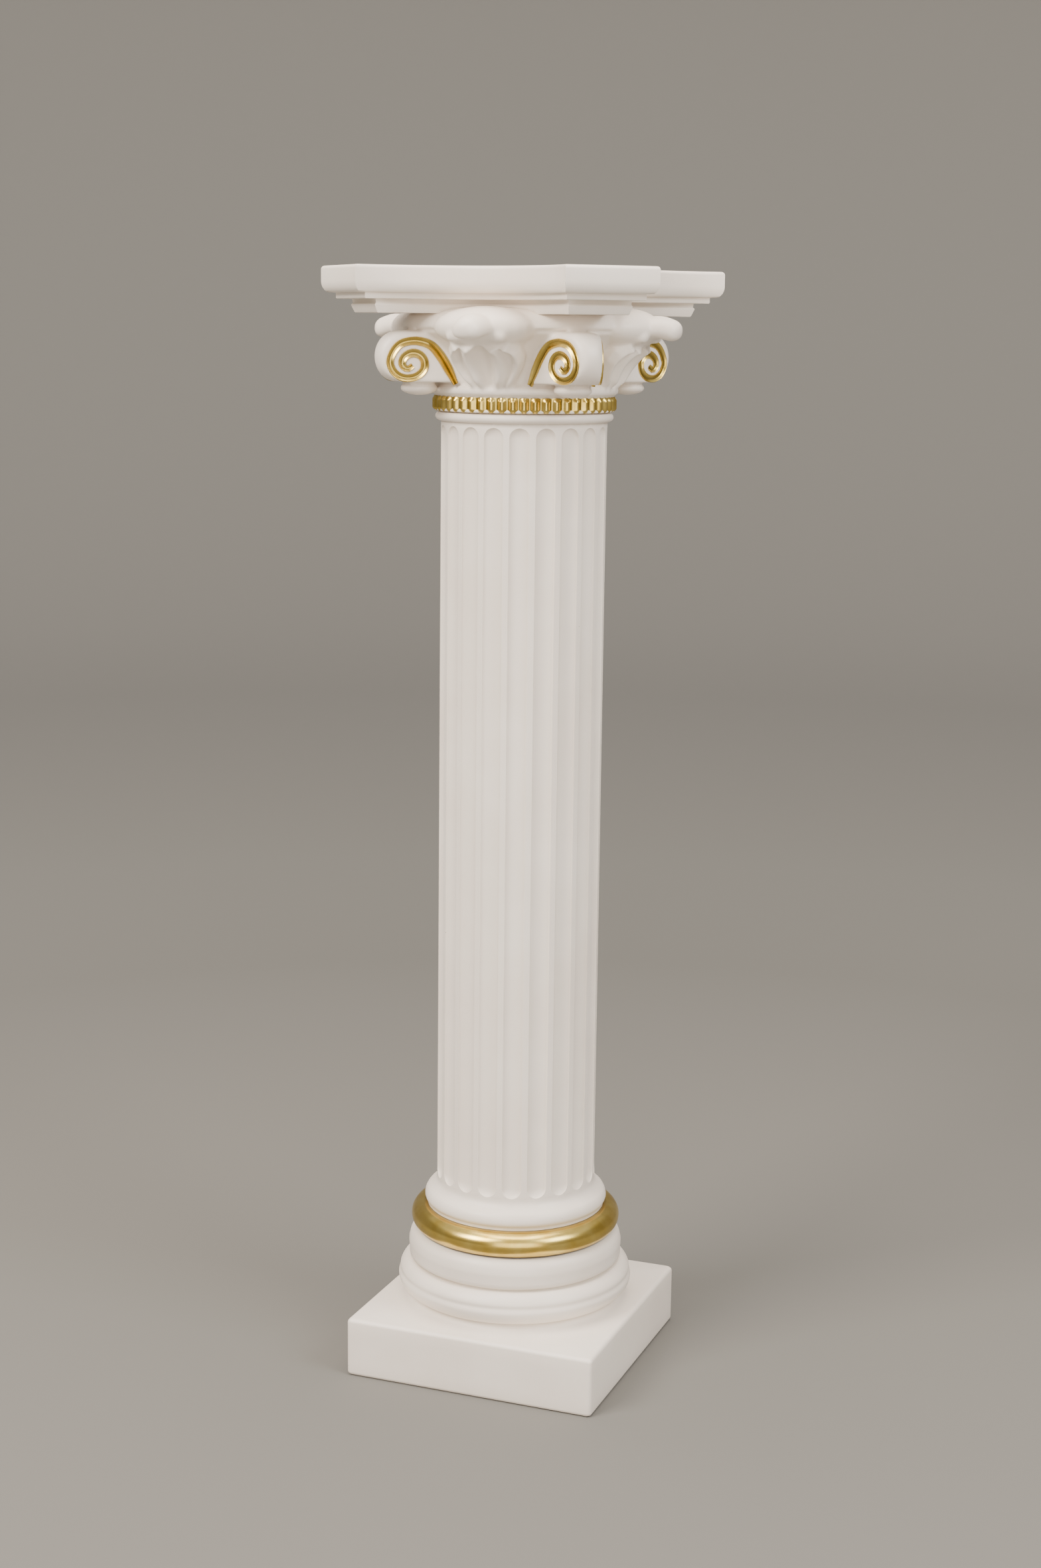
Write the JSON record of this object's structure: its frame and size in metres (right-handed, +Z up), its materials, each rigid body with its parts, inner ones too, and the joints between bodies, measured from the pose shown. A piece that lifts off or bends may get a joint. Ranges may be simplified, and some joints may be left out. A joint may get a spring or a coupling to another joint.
{
  "type": "pedestal column",
  "caption": "White cast pedestal column: square plinth, turned base with a gilded torus, fluted round shaft, and a capital with corner volutes, curling leaves and a hollow-sided top slab.",
  "frame": {"origin": "middle of the plinth's underside", "axes": "+Z up along the column's axis, from the plinth to the capital; X and Y square to the plinth's sides"},
  "size_m": [0.2572, 0.2572, 0.8403],
  "materials": {
    "cast_marble": "satin",
    "gilding": "satin"
  },
  "bodies": {
    "root": {"base": "cast_marble", "shaft": "cast_marble", "capital": "cast_marble"}
  },
  "joints": []
}
